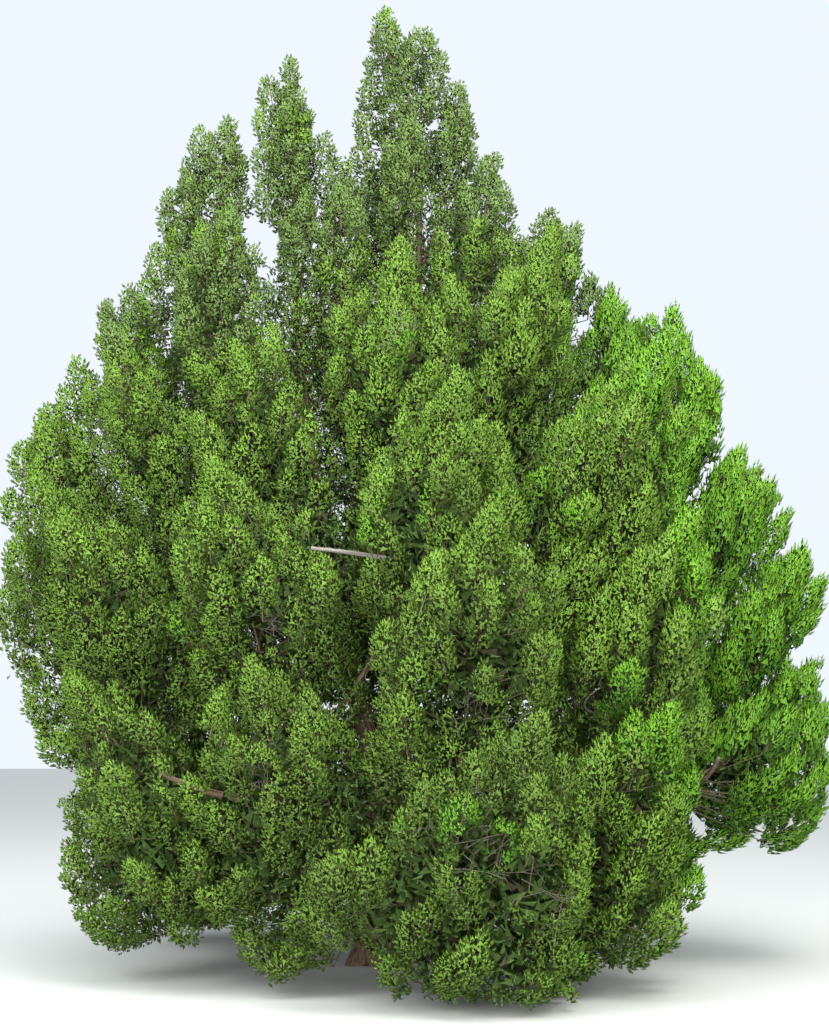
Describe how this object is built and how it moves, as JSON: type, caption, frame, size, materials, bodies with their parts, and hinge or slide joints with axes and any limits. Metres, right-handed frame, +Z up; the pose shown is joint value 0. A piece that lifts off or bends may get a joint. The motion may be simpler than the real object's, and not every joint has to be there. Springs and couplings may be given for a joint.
{
  "type": "cypress tree",
  "caption": "Dense cypress tree with a short trunk, leaders that run up into separate spires, boughs all round and a crown of pointed green foliage down to the ground.",
  "frame": {"origin": "middle of the flat cut under the trunk, at ground level", "axes": "+Z up; -Y towards the viewer of the front view; +X to the viewer's right"},
  "size_m": [6.0269, 5.5032, 7.056],
  "materials": {
    "bark": "rough",
    "foliage": "matte"
  },
  "bodies": {
    "root": {"trunk": "bark", "main_leader": "bark", "left_leader": "bark", "middle_leader": "bark", "right_bough": "bark", "front_right_bough": "bark", "front_bough": "bark", "front_left_bough": "bark", "left_front_bough": "bark", "left_bough": "bark", "back_left_bough": "bark", "back_bough": "bark", "back_right_bough": "bark", "foliage_main_spire_top": "foliage", "foliage_left_spire_top": "foliage", "foliage_middle_spire_top": "foliage", "foliage_main_spire_1a": "foliage", "foliage_main_spire_2a": "foliage", "foliage_main_spire_2b": "foliage", "foliage_main_spire_3a": "foliage", "foliage_main_spire_3b": "foliage", "foliage_main_spire_4a": "foliage", "foliage_left_spire_1a": "foliage", "foliage_left_spire_2a": "foliage", "foliage_left_spire_2b": "foliage", "foliage_middle_spire_1a": "foliage", "foliage_middle_spire_2a": "foliage", "foliage_right_1": "foliage", "foliage_right_2": "foliage", "foliage_right_3": "foliage", "foliage_right_4": "foliage", "foliage_right_5": "foliage", "foliage_right_6": "foliage", "foliage_front_right_1": "foliage", "foliage_front_right_2": "foliage", "foliage_front_right_3": "foliage", "foliage_front_right_4": "foliage", "foliage_front_1": "foliage", "foliage_front_2": "foliage", "foliage_front_3": "foliage", "foliage_front_4": "foliage", "foliage_front_left_1": "foliage", "foliage_front_left_2": "foliage", "foliage_front_left_3": "foliage", "foliage_left_front_1": "foliage", "foliage_left_front_2": "foliage", "foliage_left_front_3": "foliage", "foliage_left_1": "foliage", "foliage_left_2": "foliage", "foliage_left_3": "foliage", "foliage_left_4": "foliage", "foliage_back_left_1": "foliage", "foliage_back_left_2": "foliage", "foliage_back_left_3": "foliage", "foliage_back_1": "foliage", "foliage_back_2": "foliage", "foliage_back_3": "foliage", "foliage_back_right_1": "foliage", "foliage_back_right_2": "foliage", "foliage_back_right_3": "foliage"}
  },
  "joints": []
}
